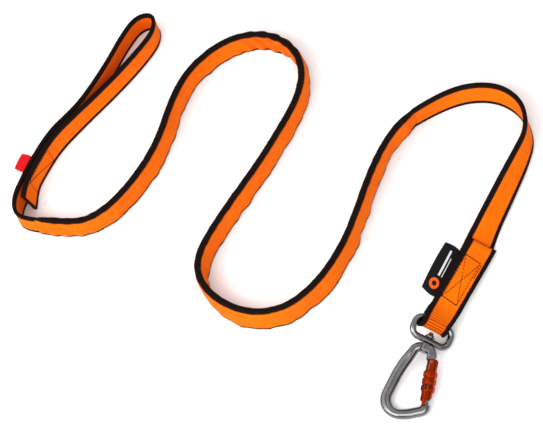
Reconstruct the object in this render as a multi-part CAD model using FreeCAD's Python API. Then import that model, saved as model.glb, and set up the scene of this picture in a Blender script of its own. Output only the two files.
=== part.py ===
"""Bungee dog leash: sewn webbing with a loop handle, an elastic middle and an auto-locking swivel carabiner.

Millimetres, +Z up.  The leash lies on a surface at z = 0.  The origin is under the middle of the metal
hardware.  +Y runs along the swivel stem from the carabiner towards the webbing, the gate is on +X.
The carabiner leans on its wide end and on the swivel eye, so its own frame is pitched about X.
"""
import FreeCAD
import Part
import math
import os

V = FreeCAD.Vector
Z_AXIS = V(0, 0, 1)

# ---- driving dimensions: webbing -------------------------------------------------------------
WIDTH = 25.0            # webbing width
THICK = 2.8             # flat webbing thickness
BUNGEE_WIDTH = 24.0     # woven tube over the elastic, laid flat
BUNGEE_THICK = 6.0
CORE_WIDTH = 17.0       # elastic inside the tube
CORE_THICK = 2.2
FOLD_WIDTH = 20.8       # webbing gathered where it wraps the eye's bar
LAYER_GAP = 0.25        # between two sewn layers
TAIL_LENGTH = 76.5      # front tail, from the eye's bar to its cut end
STACK_LENGTH = 82.0     # from the bar to where the strap begins to rise onto its edge
TAIL_SHIFT = 2.0        # the tail lies this far to the right of the strap under it
THREAD = 0.7            # width of a row of stitches
BOX_START, BOX_END = 20.0, 59.0
BOX_HALF = 8.0
LABEL_START, LABEL_END, LABEL_REACH = 17.3, 58.3, 11.0
HANDLE_STITCH_ROWS = [(38.0, -359.5, -352.3), (69.0, -358.4, -351.0)]     # y, and from x to x

# ---- driving dimensions: swivel eye and stem ------------------------------------------------------
PITCH = 7.4             # carabiner's lean, basket end down
STEM_ORIGIN = V(-1.05, 27.58, 12.68)
EYE_TURN = 38.0         # the eye is turned this far on the stem, left side up
EYE_ROD = 2.6
EYE_HALF_WIDTH = 16.0
EYE_TOP, EYE_BOTTOM = 9.8, -5.4
EYE_CORNER = 6.0
STEM_R = 1.5
RUN_GAP = 0.08          # radial clearance of a running fit
SPOT_R, SPOT_DEPTH = 3.9, 0.3
STRAP_SKEW = 8.0        # the strap leaves the bar at this angle
STRAP_BEND = 6.0        # and bends down from the eye's plane by this angle

# ---- driving dimensions: carabiner ----------------------------------------------------------------
ROD_W, ROD_T, ROD_ROUND = 7.6, 7.6, 2.8
BOSS_R, BOSS_TOP, BOSS_BOTTOM = 4.0, -8.15, -14.0
HINGE = V(9.7, -20.6, 0)
GATE_ANGLE = 11.6       # the gate leans this far out of the stem's direction
FRAME_PATH = [V(9.9, -21.6, 0), V(4.6, -11.2, 0), V(-6.6, -11.0, 0), V(-12.8, -32.8, 0),
              V(-15.5, -70.6, 0), V(18.0, -57.2, 0), V(16.9, -53.3, 0)]
FRAME_BENDS = [5.0, 6.0, 90.0, 12.0, 3.8]
TONGUE_R, TONGUE_T, TONGUE_FLAT = 2.7, 3.2, 2.35
KNUCKLE_CLEAR = 5.05
HINGE_PIN_R, HINGE_PIN_HALF = 1.1, 4.2
NOSE_TIP, NOSE_BASE = 28.2, 33.4
NOSE_HALF_T, NOSE_HEAD_HALF_T, NOSE_HEAD = 1.1, 1.8, 2.0

# ---- driving dimensions: gate and locking sleeve (distances along the gate from its hinge) --------
CLEVIS_R, CLEVIS_TOP, CLEVIS_END, CLEVIS_SLOT = 3.8, -2.6, 6.0, 3.4
BARREL_R, BARREL_TOP, BARREL_END = 4.3, -2.4, 7.4
NECK_R, NECK_END = 2.0, 15.8
CORE_R, CORE_END = 2.7, 33.0
SLEEVE_BORE, SLEEVE_TOP, SLEEVE_FULL, SLEEVE_END, TONGUE_TIP = 2.85, 11.6, 27.2, 30.0, 34.3
COLLAR_TOP, COLLAR_END, COLLAR_R, GRIP_R, BANDS, SCALLOPS = 6.6, 23.2, 4.9, 5.3, 3, 16
COUNTERBORE = 4.45
RING_TOP, RING_END, RING_R = 13.4, 15.4, 3.35
GROOVE_R, GROOVE_SPARE = 3.5, 0.2
PLUNGER_R, PLUNGER_TIP, PLUNGER_END, PLUNGER_BORE = 0.9, 2.45, 6.4, 12.0
GUIDE_PIN_R, GUIDE_PIN_AT = 0.75, 19.5

# ---- routes: points chosen along the strap's middle line -------------------------------------------
# x, y, z and how far the strap leans from lying flat (90 stands on its edge)
ROUTE_ORIGIN = V(0.65, -1.17, 0)
FRONT_ROUTE = [(2.0, 134, 10.5, 45), (3.2, 153, 11.1, 52), (4.4, 172, 11.8, 59), (5.2, 191, 12.4, 70),
               (3.0, 211, 12.6, 84), (-6.5, 229, 12.7, 98), (-24.0, 237.5, 12.7, 104),
               (-43.0, 234, 12.7, 100), (-60.5, 222, 12.6, 96), (-77.5, 205.5, 12.6, 92),
               (-87.5, 195, 12.5, 90)]
BUNGEE_ROUTE = [(-87.5, 195), (-93, 182), (-97, 164), (-98, 138), (-95, 106), (-93, 78), (-95.5, 50),
                (-102, 28), (-112, 9), (-129, -5), (-149, -10), (-170, -6), (-188, 6), (-197, 24),
                (-196, 48), (-191, 80), (-185, 112), (-181, 146), (-179, 177), (-185, 200), (-201, 217),
                (-226, 221), (-250, 211), (-267, 190), (-274, 164), (-274, 138), (-270, 110),
                (-270.5, 87), (-275, 63), (-284, 38), (-297, 22), (-316, 14), (-334, 9)]
HANDLE_ROUTE = [(-334, 9), (-347.5, 6.5), (-356, 16), (-357.6, 34), (-357.2, 57), (-355, 81), (-347, 105),
                (-342, 130), (-339, 156), (-338, 180), (-334.5, 200), (-321, 207), (-313.5, 194),
                (-317, 174), (-324.5, 149), (-334, 126), (-343.2, 104), (-351.6, 80.5), (-354, 57),
                (-354.4, 35), (-350.5, 24.5)]

PARTS = {}


def save(name, shape):
    """Write one piece, and report its volume and validity."""
    shape.exportStep("parts/" + name + ".step")
    PARTS[name] = shape
    state = "valid" if shape.isValid() else "INVALID"
    print(name.ljust(20), state, len(shape.Solids), "solid(s)", round(shape.Volume, 1), "mm3")


def on_stem(shape):
    """Move a shape from the carabiner's own frame to the leash's frame."""
    shape = shape.copy()
    shape.Placement = FreeCAD.Placement(STEM_ORIGIN, FreeCAD.Rotation(V(1, 0, 0), PITCH)) * shape.Placement
    return shape


def stem_vector(v):
    return FreeCAD.Rotation(V(1, 0, 0), PITCH).multVec(v)


def on_gate(shape):
    """Move a shape drawn along +X (distance from the hinge) and +Z to its place on the gate."""
    shape = shape.copy()
    turn = FreeCAD.Rotation(Z_AXIS, GATE_ANGLE - 90)
    shape.Placement = FreeCAD.Placement(HINGE, turn) * shape.Placement
    return on_stem(shape)


def on_route(shape):
    """Move a shape that is placed beside the routes to the leash's frame."""
    shape.translate(ROUTE_ORIGIN)
    return shape


def rod(start, end, r):
    """A cylinder along +X from start to end."""
    return Part.makeCylinder(r, end - start, V(start, 0, 0), V(1, 0, 0))


def tube(start, end, r_out, r_in):
    return rod(start, end, r_out).cut(rod(start - 1, end + 1, r_in))


def block(x0, x1, y0, y1, z0, z1):
    return Part.makeBox(x1 - x0, y1 - y0, z1 - z0, V(x0, y0, z0))


def stem_rod(start, end, r):
    """A cylinder along the stem."""
    return Part.makeCylinder(r, end - start, V(0, start, 0), V(0, 1, 0))


def bent_path(points, radii):
    """Straight runs joined by tangent arcs; a radius of None takes 0.45 of the shorter run."""
    edges, at, used = [], points[0], []
    for i in range(1, len(points) - 1):
        before, after = points[i - 1] - points[i], points[i + 1] - points[i]
        half_turn = (math.pi - before.getAngle(after)) / 2
        reach = 0.45 * min(before.Length, after.Length)
        if radii:
            reach = radii[i - 1] * math.tan(half_turn)
        used.append(reach / math.tan(half_turn))
        before.normalize()
        after.normalize()
        first, last = points[i] + before * reach, points[i] + after * reach
        inward = before + after
        inward.normalize()
        depth = reach / math.sin(half_turn) - used[-1]
        middle = points[i] + inward * (reach / math.sin(half_turn) - used[-1]) if depth > 0 else points[i]
        if (first - at).Length > 1e-6:
            edges.append(Part.LineSegment(at, first).toShape())
        edges.append(Part.Arc(first, middle, last).toShape())
        at = last
    edges.append(Part.LineSegment(at, points[-1]).toShape())
    return edges, used


def rounded_rect(w, t, r, origin, across, up):
    """A closed wire of w by t with corner radius r in the plane of two directions."""
    corners = []
    for sx, sy in ((1, 1), (-1, 1), (-1, -1), (1, -1)):
        corners.append((sx, sy))
    edges, ends = [], []
    for sx, sy in corners:
        c = origin + across * (sx * (w / 2 - r)) + up * (sy * (t / 2 - r))
        a, b = c + across * (sx * r), c + up * (sy * r)
        if sx * sy < 0:
            a, b = b, a
        m = c + across * (sx * r * math.sqrt(0.5)) + up * (sy * r * math.sqrt(0.5))
        edges.append(Part.Arc(a, m, b).toShape())
        ends.append((a, b))
    for i in range(4):
        a, b = ends[i][1], ends[(i + 1) % 4][0]
        if (a - b).Length > 1e-6:
            edges.append(Part.LineSegment(a, b).toShape())
    return Part.Wire(Part.__sortEdges__(edges))


def upright_strip(name, route, width, thick, round_edge):
    """A strip that stands on its edge along a level route."""
    points = [V(x, y, WIDTH / 2) + ROUTE_ORIGIN for x, y in route]
    edges, radii = bent_path(points, None)
    path = Part.Wire(edges)
    tangent = (points[1] - points[0]).normalize()
    across = tangent.cross(Z_AXIS)
    profile = rounded_rect(thick, width, round_edge, points[0], across, Z_AXIS)
    strip = path.makePipeShell([profile], True, False)
    area = Part.Face(profile).Area
    print(name, "length", round(path.Length, 1), "smallest radius", round(min(radii), 1),
          "volume / (section x length)", round(strip.Volume / (area * path.Length), 3))
    return strip


# ---- the strap's frame at the eye ------------------------------------------------------------------
BAR = STEM_ORIGIN + stem_vector(V(0, EYE_TOP, 0))
turn = math.radians(EYE_TURN)
BAR_AXIS = stem_vector(V(math.cos(turn), 0, -math.sin(turn)))
EYE_NORMAL = stem_vector(V(math.sin(turn), 0, math.cos(turn)))
bend = math.radians(STRAP_BEND)
FOLD_ALONG = stem_vector(V(0, 1, 0)) * math.cos(bend) - EYE_NORMAL * math.sin(bend)
STACK_UP = EYE_NORMAL * math.cos(bend) + stem_vector(V(0, 1, 0)) * math.sin(bend)
skew = math.radians(STRAP_SKEW)
STACK_ALONG = FOLD_ALONG * math.cos(skew) + BAR_AXIS * math.sin(skew)
STACK_ACROSS = BAR_AXIS * math.cos(skew) - FOLD_ALONG * math.sin(skew)
LAYER = (THICK + LAYER_GAP) / 2      # from the middle of the sewn stack to the middle of a layer


def stack_box(s0, s1, a0, a1, n0, n1, along=None, across=None):
    """A box in the frame of the sewn stack: along the strap, across it and up from its middle."""
    along, across = along or STACK_ALONG, across or STACK_ACROSS
    m = FreeCAD.Matrix(along.x, across.x, STACK_UP.x, BAR.x, along.y, across.y, STACK_UP.y, BAR.y,
                       along.z, across.z, STACK_UP.z, BAR.z, 0, 0, 0, 1)
    if along.cross(across).dot(STACK_UP) < 0:
        m = FreeCAD.Matrix(along.x, -across.x, STACK_UP.x, BAR.x, along.y, -across.y, STACK_UP.y, BAR.y,
                           along.z, -across.z, STACK_UP.z, BAR.z, 0, 0, 0, 1)
        a0, a1 = -a1, -a0
    shape = block(s0, s1, a0, a1, n0, n1)
    shape.Placement = FreeCAD.Placement(m)
    return shape


def strap_section(centre, along, across, width, thick):
    up = across.cross(along).normalize()
    a, u = across * (width / 2), up * (thick / 2)
    corners = [centre + a + u, centre - a + u, centre - a - u, centre + a - u]
    return Part.makePolygon(corners + corners[:1])


def lean_frame(along, lean):
    """Across direction of a strap that heads along and leans, its left edge up."""
    right = along.cross(Z_AXIS).normalize()
    up = right.cross(along)
    return right * math.cos(math.radians(lean)) - up * math.sin(math.radians(lean))


def front_webbing():
    """Tail, wrap round the eye's bar, strap under the tail, and the strap that rises onto its edge."""
    wrap_in = EYE_ROD + 0.3
    wrap_out = wrap_in + THICK
    reach = 9.0
    # the wrap, as a half ring about the bar, with flat legs that close up to the sewn stack
    half = Part.makeCylinder(wrap_out, FOLD_WIDTH, BAR - BAR_AXIS * (FOLD_WIDTH / 2), BAR_AXIS)
    half = half.cut(Part.makeCylinder(wrap_in, FOLD_WIDTH + 2, BAR - BAR_AXIS * (FOLD_WIDTH / 2 + 1), BAR_AXIS))
    half = half.cut(stack_box(0, 20, -20, 20, -20, 20, FOLD_ALONG, BAR_AXIS))
    solids = [half]
    for side in (1, -1):
        sections = []
        for s, n, width in ((-0.02, wrap_in + THICK / 2, FOLD_WIDTH), (reach - 4, wrap_in + THICK / 2, FOLD_WIDTH)):
            centre = BAR + FOLD_ALONG * s + STACK_UP * (side * n)
            sections.append(strap_section(centre, FOLD_ALONG, BAR_AXIS, width, THICK))
        shift = TAIL_SHIFT if side > 0 else 0
        last = TAIL_LENGTH if side > 0 else STACK_LENGTH
        for s, n in ((16.0, LAYER), (last, LAYER)):
            centre = BAR + STACK_ALONG * s + STACK_ACROSS * shift + STACK_UP * (side * n)
            sections.append(strap_section(centre, STACK_ALONG, STACK_ACROSS, WIDTH, THICK))
        solids.append(Part.makeLoft(sections, True, True))
    body = solids[0].fuse(solids[1:])
    # the strap on its way to standing on edge
    start = BAR + STACK_ALONG * STACK_LENGTH - STACK_UP * LAYER
    points = [start] + [V(x, y, z) + ROUTE_ORIGIN for x, y, z, lean in FRONT_ROUTE]
    leans = [None] + [lean for x, y, z, lean in FRONT_ROUTE]
    edges, radii = bent_path(points, None)
    sections = [strap_section(start, STACK_ALONG, STACK_ACROSS, WIDTH, THICK)]
    for i in range(1, len(points) - 1):
        arc = edges[2 * i - 1]
        for t in (0.0, 0.5, 1.0):
            u = arc.FirstParameter + t * (arc.LastParameter - arc.FirstParameter)
            along = arc.tangentAt(u)
            if along.dot(points[i + 1] - points[i - 1]) < 0:
                along = -along
            at = arc.valueAt(u)
            before = leans[i - 1] if i > 1 else leans[1] - 5
            other = before if t < 0.5 else leans[i + 1]
            lean = leans[i] + (other - leans[i]) * abs(t - 0.5) * 0.9
            sections.append(strap_section(at, along, lean_frame(along, lean), WIDTH, THICK))
    last = (points[-1] - points[-2]).normalize()
    sections.append(strap_section(points[-1], last, lean_frame(last, leans[-1]), WIDTH, THICK))
    rise = Part.makeLoft(sections, True, True)
    length = sum(e.Length for e in edges)
    print("front strap length", round(length, 1), "smallest radius", round(min(radii), 1),
          "volume / (section x length)", round(rise.Volume / (WIDTH * THICK * length), 3))
    whole = body.fuse(rise).removeSplitter()
    return whole


def row_of_stitches(p, q, height):
    """A raised row of stitches on the front tail, from p to q (along, across)."""
    along, across = q[0] - p[0], q[1] - p[1]
    length = math.hypot(along, across)
    bar = Part.makeBox(length, THREAD, height, V(0, -THREAD / 2, 0))
    bar.rotate(V(0, 0, 0), Z_AXIS, math.degrees(math.atan2(across, along)))
    bar.translate(V(p[0], p[1], 0))
    return bar


def box_stitch_front():
    s0, s1, a = BOX_START, BOX_END, BOX_HALF
    lines = [((s0, -a), (s1, -a)), ((s0, a), (s1, a)), ((s0, -a), (s0, a)), ((s1, -a), (s1, a)),
             ((s0, -a), (s1, a)), ((s0, a), (s1, -a))]
    pattern = [row_of_stitches(p, q, 0.35) for p, q in lines]
    shape = pattern[0].fuse(pattern[1:]).removeSplitter()
    top = THICK + LAYER_GAP / 2
    left = -STACK_ACROSS
    m = FreeCAD.Matrix(STACK_ALONG.x, left.x, STACK_UP.x, 0, STACK_ALONG.y, left.y, STACK_UP.y, 0,
                       STACK_ALONG.z, left.z, STACK_UP.z, 0, 0, 0, 0, 1)
    shape.Placement = FreeCAD.Placement(m)
    shape.translate(BAR + STACK_UP * top + STACK_ACROSS * (TAIL_SHIFT / 2))
    return shape


def side_label():
    """A folded woven label sewn into the left edge of the front stack."""
    return stack_box(LABEL_START, LABEL_END, -WIDTH / 2 - LABEL_REACH, -WIDTH / 2, -0.6, 0.6)


def handle_stitch():
    """Two upright rows of thread right through both sewn handle legs."""
    rows = []
    for y, x0, x1 in HANDLE_STITCH_ROWS:
        rows.append(block(x0, x1, y, y + THREAD, 3, WIDTH - 3))
    return on_route(Part.makeCompound(rows))


def bungee_cover():
    outer = upright_strip("bungee_cover", BUNGEE_ROUTE, BUNGEE_WIDTH, BUNGEE_THICK, BUNGEE_THICK / 2 - 0.1)
    inner = upright_strip("cavity", BUNGEE_ROUTE, CORE_WIDTH + 0.4, CORE_THICK + 0.4, 0.4)
    return outer.cut(inner)


def bungee_core():
    return upright_strip("bungee_core", BUNGEE_ROUTE, CORE_WIDTH, CORE_THICK, 0.4)


def handle_webbing():
    return upright_strip("handle_webbing", HANDLE_ROUTE, WIDTH, THICK, 0.4)


def end_tack(before, after):
    """A bar tack on both faces of the tube, midway along the run between two points of its route."""
    x, y = (before[0] + after[0]) / 2, (before[1] + after[1]) / 2
    heading = math.degrees(math.atan2(after[1] - before[1], after[0] - before[0]))
    half_t, half_w = BUNGEE_THICK / 2, BUNGEE_WIDTH / 2 - 2
    band = block(-1.2, 1.2, half_t, half_t + 0.35, -half_w, half_w)
    other = block(-1.2, 1.2, -half_t - 0.35, -half_t, -half_w, half_w)
    shape = Part.makeCompound([band, other])
    shape.rotate(V(0, 0, 0), Z_AXIS, heading)
    shape.translate(V(x, y, WIDTH / 2))
    return on_route(shape)


def swivel_eye():
    """A forged ring, rounded at its corners, with the stem's hole through its lower bar."""
    w = EYE_HALF_WIDTH
    middle = (EYE_TOP + EYE_BOTTOM) / 2
    points = [V(0, EYE_TOP, 0), V(w, EYE_TOP, 0), V(w, EYE_BOTTOM, 0), V(-w, EYE_BOTTOM, 0),
              V(-w, EYE_TOP, 0), V(0, EYE_TOP, 0)]
    edges, used = bent_path(points, [EYE_CORNER] * 4)
    circle = Part.Wire(Part.makeCircle(EYE_ROD, points[0], V(1, 0, 0)))
    ring = Part.Wire(edges).makePipeShell([circle], True, False)
    ring = ring.cut(stem_rod(EYE_BOTTOM - 4, EYE_BOTTOM + 4, STEM_R + RUN_GAP))
    seat = EYE_ROD - SPOT_DEPTH
    ring = ring.cut(stem_rod(EYE_BOTTOM + seat, EYE_BOTTOM + seat + 2, SPOT_R))
    ring = ring.cut(stem_rod(EYE_BOTTOM - seat - 2, EYE_BOTTOM - seat, SPOT_R + 0.6))
    ring.rotate(V(0, 0, 0), V(0, 1, 0), EYE_TURN)
    return on_stem(ring)


SEAT = EYE_BOTTOM + EYE_ROD - SPOT_DEPTH


def swivel_washer():
    washer = stem_rod(SEAT + 0.1, SEAT + 0.8, 3.5).cut(stem_rod(SEAT, SEAT + 2, STEM_R))
    return on_stem(washer)


def swivel_nut():
    """A stepped collar: a wide base and a narrower shoulder."""
    base = stem_rod(SEAT + 0.8, SEAT + 2.2, 3.2)
    shoulder = Part.makeCone(3.0, 2.2, 1.3, V(0, SEAT + 2.2, 0), V(0, 1, 0))
    nut = base.fuse(shoulder).cut(stem_rod(SEAT, SEAT + 5, STEM_R))
    return on_stem(nut.removeSplitter())


def swivel_pin():
    """Stem with a flanged head inside the carabiner and a domed riveted end inside the eye."""
    stem = stem_rod(BOSS_BOTTOM, SEAT + 4.3, STEM_R)
    dome = Part.makeCone(STEM_R, 0.9, 0.5, V(0, SEAT + 4.3, 0), V(0, 1, 0))
    head = stem_rod(BOSS_BOTTOM - 1.2, BOSS_BOTTOM, 3.0)
    return on_stem(stem.fuse([dome, head]).removeSplitter())


def carabiner_frame():
    """Bent rod with the stem's boss, the hinge tongue and the hooked nose."""
    edges, used = bent_path(FRAME_PATH, FRAME_BENDS)
    first = (FRAME_PATH[1] - FRAME_PATH[0]).normalize()
    profile = rounded_rect(ROD_W, ROD_T, ROD_ROUND, FRAME_PATH[0], first.cross(Z_AXIS), Z_AXIS)
    frame = Part.Wire(edges).makePipeShell([profile], True, False)
    boss = stem_rod(BOSS_BOTTOM, BOSS_TOP, BOSS_R)
    frame = frame.fuse(boss)
    frame = frame.cut(stem_rod(BOSS_BOTTOM - 5, BOSS_BOTTOM, BOSS_R))
    frame = frame.cut(stem_rod(BOSS_TOP, BOSS_TOP + 6, BOSS_R + 4))
    frame = frame.cut(stem_rod(BOSS_BOTTOM - 1, BOSS_TOP + 1, STEM_R))
    # hinge: everything near the pin is cut away, then the thin tongue is added
    frame = frame.cut(Part.makeCylinder(KNUCKLE_CLEAR, 20, HINGE - V(0, 0, 10), Z_AXIS))
    tongue = Part.makeCylinder(TONGUE_R, TONGUE_T, HINGE - V(0, 0, TONGUE_T / 2), Z_AXIS)
    arm_way = (FRAME_PATH[1] - HINGE).normalize()
    side = arm_way.cross(Z_AXIS) * (TONGUE_R - 0.1)
    low = V(0, 0, -TONGUE_T / 2)
    corners = [HINGE + side + low, HINGE + side + arm_way * 6 + low, HINGE - side + arm_way * 6 + low,
               HINGE - side + low]
    arm = Part.Face(Part.makePolygon(corners + corners[:1])).extrude(V(0, 0, TONGUE_T))
    tongue = tongue.fuse(arm)
    gate_dir = V(math.sin(math.radians(GATE_ANGLE)), -math.cos(math.radians(GATE_ANGLE)), 0)
    flat = block(TONGUE_FLAT, TONGUE_FLAT + 2, -4, 4, -4, 4)
    flat.Placement = FreeCAD.Placement(HINGE, FreeCAD.Rotation(Z_AXIS, GATE_ANGLE - 90))
    tongue = tongue.cut(flat)
    frame = frame.fuse(tongue)
    frame = frame.cut(Part.makeCylinder(HINGE_PIN_R, 20, HINGE - V(0, 0, 10), Z_AXIS))
    # nose: a flat post with a thicker head that the gate's slot takes
    post = block(NOSE_TIP, NOSE_BASE + 1.0, -1.5, 1.9, -NOSE_HALF_T, NOSE_HALF_T)
    head = block(NOSE_TIP, NOSE_TIP + NOSE_HEAD, -1.5, 1.9, -NOSE_HEAD_HALF_T, NOSE_HEAD_HALF_T)
    nose = post.fuse(head)
    spare = tube(NOSE_BASE - 3, TONGUE_TIP + 0.6, 4.9, 3.2)
    spare = spare.cut(block(0, 60, 2.3, 10, -10, 10))
    place = FreeCAD.Placement(HINGE, FreeCAD.Rotation(Z_AXIS, GATE_ANGLE - 90))
    nose.Placement = place
    spare.Placement = place
    frame = frame.cut(spare).fuse(nose)
    return on_stem(frame.removeSplitter())


def gate_hinge_pin():
    pin = Part.makeCylinder(HINGE_PIN_R, 2 * HINGE_PIN_HALF, HINGE - V(0, 0, HINGE_PIN_HALF), Z_AXIS)
    return on_stem(pin)


def hinge_hole(half):
    return Part.makeCylinder(HINGE_PIN_R + RUN_GAP, 2 * half, V(0, 0, -half), Z_AXIS)


def gate_core():
    """Clevis at the hinge, a neck for the spring, and a slotted end that takes the nose."""
    core = rod(CLEVIS_TOP, CLEVIS_END, CLEVIS_R)
    core = core.cut(block(CLEVIS_TOP - 1, CLEVIS_SLOT, -6, 6, -TONGUE_T / 2 - 0.2, TONGUE_T / 2 + 0.2))
    core = core.fuse([rod(CLEVIS_END, NECK_END, NECK_R), rod(NECK_END, CORE_END, CORE_R)])
    core = core.cut(hinge_hole(10))
    core = core.cut(rod(CLEVIS_SLOT - 1, PLUNGER_BORE, PLUNGER_R + RUN_GAP))
    core = core.cut(block(NOSE_TIP - 0.4, CORE_END + 1, -1.9, 6, -NOSE_HALF_T - 0.25, NOSE_HALF_T + 0.25))
    core = core.cut(block(NOSE_TIP - 0.4, NOSE_TIP + NOSE_HEAD + 0.3, -1.9, 6,
                          -NOSE_HEAD_HALF_T - 0.2, NOSE_HEAD_HALF_T + 0.2))
    core = core.cut(Part.makeCylinder(GUIDE_PIN_R, 10, V(GUIDE_PIN_AT, 0, 0), Z_AXIS))
    return on_gate(core.removeSplitter())


def gate_barrel():
    """Upper tube on the clevis, open at the hinge's tongue and slotted on its face."""
    barrel = tube(BARREL_TOP, BARREL_END, BARREL_R, CLEVIS_R)
    barrel = barrel.cut(block(BARREL_TOP - 1, CLEVIS_SLOT, -6, 6, -TONGUE_T / 2 - 0.2, TONGUE_T / 2 + 0.2))
    barrel = barrel.cut(hinge_hole(10))
    barrel = barrel.cut(block(1.6, 6.0, -2.6, -1.1, 0, 6))
    return on_gate(barrel)


def coil(start, end, mean_r, wire_r, turns):
    """A helical spring along the gate."""
    pitch = (end - start - 2 * wire_r) / turns
    helix = Part.makeHelix(pitch, end - start - 2 * wire_r, mean_r)
    circle = Part.Wire(Part.makeCircle(wire_r, V(mean_r, 0, 0), V(0, 1, 0)))
    spring = Part.Wire(helix).makePipeShell([circle], True, True)
    spring.rotate(V(0, 0, 0), V(0, 1, 0), 90)
    spring.translate(V(start + wire_r, 0, 0))
    return on_gate(spring)


def gate_plunger():
    plunger = rod(PLUNGER_TIP + 0.4, PLUNGER_END, PLUNGER_R)
    tip = Part.makeCone(PLUNGER_R, 0.5, 0.4, V(PLUNGER_TIP + 0.4, 0, 0), V(-1, 0, 0))
    return on_gate(plunger.fuse(tip))


def locking_sleeve():
    """Lower barrel: a full tube, then fingers and a long tongue about the nose, open outwards."""
    sleeve = tube(SLEEVE_TOP, SLEEVE_FULL, BARREL_R, SLEEVE_BORE)
    sleeve = sleeve.cut(rod(SLEEVE_TOP - 1, RING_END + GROOVE_SPARE, GROOVE_R))
    crown = tube(SLEEVE_FULL, SLEEVE_END, BARREL_R, SLEEVE_BORE + 0.35)
    opening = block(SLEEVE_FULL - 1, SLEEVE_END + 1, 0, 6, -6, 2.0)
    opening = opening.fuse(block(SLEEVE_FULL - 1, SLEEVE_END + 1, -1.0, 1, -6, -1))
    crown = crown.cut(opening)
    crown = crown.cut(block(SLEEVE_FULL + 0.6, SLEEVE_END + 1, -3.1, -1.7, 0, 6))
    tongue = tube(SLEEVE_FULL, TONGUE_TIP, BARREL_R, 3.4)
    tongue = tongue.common(block(SLEEVE_FULL, TONGUE_TIP, -1.5, 0.9, 0, 6))
    sleeve = sleeve.fuse([crown, tongue]).removeSplitter()
    sleeve = sleeve.cut(block(17.4, 22.2, -0.85, 0.85, 0, 8))
    return on_gate(sleeve)


def grip_collar():
    """Three scalloped bands in one collar, counterbored to pass over the upper tube."""
    step = (COLLAR_END - COLLAR_TOP) / BANDS
    bands = []
    for i in range(BANDS):
        start = COLLAR_TOP + i * step
        band = rod(start + 0.35, start + step - 0.35, GRIP_R)
        for k in range(SCALLOPS):
            angle = 2 * math.pi * (k + 0.5 * (i % 2)) / SCALLOPS
            flute = Part.makeCylinder(0.55, step, V(start, (GRIP_R + 0.2) * math.cos(angle),
                                                    (GRIP_R + 0.2) * math.sin(angle)), V(1, 0, 0))
            band = band.cut(flute)
        bands.append(band)
    collar = rod(COLLAR_TOP, COLLAR_END, COLLAR_R).fuse(bands)
    collar = collar.cut(rod(COLLAR_TOP - 1, SLEEVE_TOP, COUNTERBORE))
    collar = collar.cut(rod(COLLAR_TOP - 1, COLLAR_END + 1, BARREL_R))
    collar = collar.cut(block(17.4, 22.2, -0.85, 0.85, 0, 8))
    return on_gate(collar.removeSplitter())


def guide_ring():
    return on_gate(tube(RING_TOP, RING_END, RING_R, NECK_R + RUN_GAP))


def guide_pin():
    pin = Part.makeCylinder(GUIDE_PIN_R, 2.75, V(GUIDE_PIN_AT, 0, 0), Z_AXIS)
    return on_gate(pin)


def handle_tag():
    """A folded plain tag sewn into the handle's outer edge."""
    return on_route(block(-368.8, -358.6, 45.0, 59.0, 21.2, 22.4))


def build():
    os.makedirs("parts", exist_ok=True)
    save("front_webbing", front_webbing())
    save("bungee_cover", bungee_cover())
    save("bungee_core", bungee_core())
    save("handle_webbing", handle_webbing())
    save("box_stitch_front", box_stitch_front())
    save("box_stitch_handle", handle_stitch())
    save("bar_tack_front", end_tack(BUNGEE_ROUTE[1], BUNGEE_ROUTE[2]))
    save("bar_tack_handle", end_tack(BUNGEE_ROUTE[-2], BUNGEE_ROUTE[-1]))
    save("side_label", side_label())
    save("handle_tag", handle_tag())
    save("swivel_eye", swivel_eye())
    save("swivel_washer", swivel_washer())
    save("swivel_nut", swivel_nut())
    save("swivel_pin", swivel_pin())
    save("carabiner_frame", carabiner_frame())
    save("gate_hinge_pin", gate_hinge_pin())
    save("gate_core", gate_core())
    save("gate_barrel", gate_barrel())
    save("gate_spring", coil(PLUNGER_END + 0.1, PLUNGER_BORE - 0.1, 0.62, 0.18, 7))
    save("gate_plunger", gate_plunger())
    save("guide_pin", guide_pin())
    save("guide_ring", guide_ring())
    save("sleeve_spring", coil(CLEVIS_END + 0.1, RING_TOP - 0.1, 2.4, 0.25, 5))
    save("locking_sleeve", locking_sleeve())
    save("grip_collar", grip_collar())
    hardware = Part.makeCompound([PARTS[n] for n in list(PARTS)[10:]])
    box = hardware.BoundBox
    print("hardware box", [round(v, 2) for v in (box.XMin, box.XMax, box.YMin, box.YMax, box.ZMin, box.ZMax)])
    whole = Part.makeCompound(list(PARTS.values())).BoundBox
    print("whole box", [round(v, 2) for v in (whole.XMin, whole.XMax, whole.YMin, whole.YMax, whole.ZMin, whole.ZMax)])


build()
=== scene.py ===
"""Looks of the bungee dog leash: orange webbing with black edges, a sewn loop handle and a swivel carabiner.

The sizes and routes below are in mm, in the CAD frame, and pieces are made in metres.  They follow part.py,
but the straps are moved and swelled by up to a few millimetres, because the real ones are limp.
"""
import math
import bpy
import bmesh
from mathutils import Matrix, Quaternion, Vector, noise


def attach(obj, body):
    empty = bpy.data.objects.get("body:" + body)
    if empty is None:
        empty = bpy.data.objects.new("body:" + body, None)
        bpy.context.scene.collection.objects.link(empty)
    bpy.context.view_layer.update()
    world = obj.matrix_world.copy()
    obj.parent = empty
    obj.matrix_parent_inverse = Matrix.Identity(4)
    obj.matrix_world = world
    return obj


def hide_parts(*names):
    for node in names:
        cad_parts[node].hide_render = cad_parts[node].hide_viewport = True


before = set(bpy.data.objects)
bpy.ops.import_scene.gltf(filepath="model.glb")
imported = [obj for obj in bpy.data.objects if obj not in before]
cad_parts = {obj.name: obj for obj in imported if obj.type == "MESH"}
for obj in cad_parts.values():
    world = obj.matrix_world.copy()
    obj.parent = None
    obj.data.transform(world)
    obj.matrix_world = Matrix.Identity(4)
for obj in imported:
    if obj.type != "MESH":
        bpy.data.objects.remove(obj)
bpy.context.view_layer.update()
MM = 0.001
Z_AXIS = Vector((0, 0, 1))

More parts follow.
